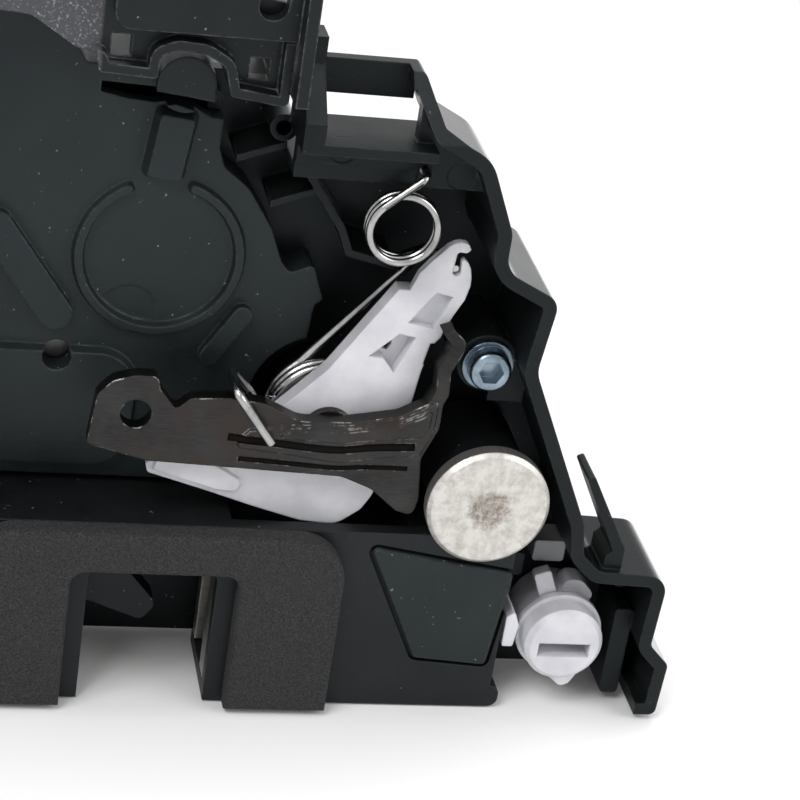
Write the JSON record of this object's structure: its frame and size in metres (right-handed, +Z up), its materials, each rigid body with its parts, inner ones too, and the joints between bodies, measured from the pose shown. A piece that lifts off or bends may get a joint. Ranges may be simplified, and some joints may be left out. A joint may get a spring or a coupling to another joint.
{
  "type": "door latch actuator",
  "caption": "Car door latch with powered lock: striker catch and pawl, steel and moulded release levers, wound springs, key coupling and a worm-driven lock slide in a case.",
  "frame": {"origin": "where the striker bar rests: middle of the striker mouth on the latch housing's front face", "axes": "+X to the right seen from the door skin, +Y away from the door skin (depth), +Z up, towards the top bracket"},
  "size_m": [0.1226, 0.0343, 0.1132],
  "materials": {
    "black_plastic": "fine grained, glass-filled",
    "housing_plastic": "fine grained",
    "lid_plastic": "satin moulded",
    "foam": "open-cell foam",
    "zinc_steel": "zinc plated, satin",
    "dark_steel": "phosphated and oiled",
    "catch_coat": "moulded over steel",
    "spring_steel": "drawn wire",
    "white_plastic": "natural acetal",
    "metallised_disc": "turned face",
    "grey_plastic": "satin moulded",
    "rubber_stop": "smooth",
    "motor_can": "drawn can",
    "brass": "machined",
    "contact": "tin plated"
  },
  "bodies": {
    "case_body": {"case": "black_plastic", "latch_housing": "housing_plastic", "latch_cover": "lid_plastic", "foam_seal": "foam", "mount_plate": "zinc_steel", "back_plate": "zinc_steel", "catch_pin": "spring_steel", "catch_buffer": "rubber_stop", "pawl_pin": "spring_steel", "lever_pin": "dark_steel", "support_post": "metallised_disc", "case_screw": "zinc_steel", "key_stop": "grey_plastic", "actuator_cover": "lid_plastic", "upper_cover": "lid_plastic", "top_bracket": "lid_plastic", "wheel_pin": "spring_steel", "motor": "motor_can", "lock_switch": "black_plastic", "latch_switch": "black_plastic", "rear_cover": "black_plastic", "connector_pins": "contact", "cover_screws": "zinc_steel"},
    "catch_body": {"catch": "catch_coat", "catch_spring": "spring_steel"},
    "pawl_body": {"pawl": "zinc_steel", "pawl_spring": "spring_steel"},
    "trip_body": {"trip_rod": "white_plastic"},
    "outer_body": {"outer_lever": "dark_steel"},
    "release_body": {"release_lever": "white_plastic", "lever_spring": "spring_steel", "return_spring": "spring_steel"},
    "key_body": {"key_coupling": "white_plastic"},
    "link_body": {"lock_link": "grey_plastic"},
    "wheel_body": {"worm_wheel": "white_plastic"},
    "worm_body": {"motor_worm": "brass"},
    "slide_body": {"lock_slide": "white_plastic"}
  },
  "joints": [
    {"name": "catch_turn", "type": "hinge", "parent": "case_body", "child": "catch_body", "pos_m": [-0.0125, 0.0085, 0.002], "axis": [0, -1, 0], "range_deg": [0, 46], "stiffness_Nm_per_rad": 0.06, "springref_deg": -22.92, "deforming": ["catch_spring"]},
    {"name": "trip_slide", "type": "slide", "parent": "case_body", "child": "trip_body", "axis": [0, 0, -1], "range_m": [0, 0.0022], "stiffness_N_per_m": 300, "springref_m": -0.001},
    {"name": "pawl_turn", "type": "hinge", "parent": "case_body", "child": "pawl_body", "pos_m": [-0.0275, 0.0085, -0.008], "axis": [0, -1, 0], "range_deg": [0, 12.5], "deforming": ["pawl_spring"]},
    {"name": "outer_lever_turn", "type": "hinge", "parent": "case_body", "child": "outer_body", "pos_m": [0.0188, 0.0005, 0.0226], "axis": [0, -1, 0], "range_deg": [0, 12], "stiffness_Nm_per_rad": 0.08, "springref_deg": -11.46},
    {"name": "release_lever_turn", "type": "hinge", "parent": "case_body", "child": "release_body", "pos_m": [0.0188, 0.0038, 0.0226], "axis": [0, -1, 0], "range_deg": [0, 10], "stiffness_Nm_per_rad": 0.1, "springref_deg": -11.46, "deforming": ["lever_spring", "return_spring"]},
    {"name": "key_turn", "type": "hinge", "parent": "case_body", "child": "key_body", "pos_m": [0.052, 0.005, -0.0044], "axis": [0, 1, 0], "range_deg": [-40, 40]},
    {"name": "link_slide", "type": "slide", "parent": "case_body", "child": "link_body", "axis": [0, 0, 1], "range_m": [-0.0015, 0.0015]},
    {"name": "wheel_turn", "type": "hinge", "parent": "case_body", "child": "wheel_body", "pos_m": [-0.0023, 0.0195, 0.0405], "axis": [0, -1, 0], "range_deg": [-60, 60]},
    {"name": "worm_turn", "type": "hinge", "parent": "case_body", "child": "worm_body", "pos_m": [-0.0143, 0.0195, 0.0405], "axis": [0, 0, 1], "range_deg": [-1440.5, 1440.5]},
    {"name": "slide_move", "type": "slide", "parent": "case_body", "child": "slide_body", "axis": [1, 0, 0], "range_m": [-0.00503, 0.00503]}
  ],
  "couplings": [
    {"joint": "pawl_turn", "follows": "trip_slide", "rad_per_m": 95.2},
    {"joint": "key_turn", "follows": "link_slide", "rad_per_m": 465},
    {"joint": "wheel_turn", "follows": "slide_move", "rad_per_m": 208.33},
    {"joint": "worm_turn", "follows": "slide_move", "rad_per_m": 5000}
  ]
}
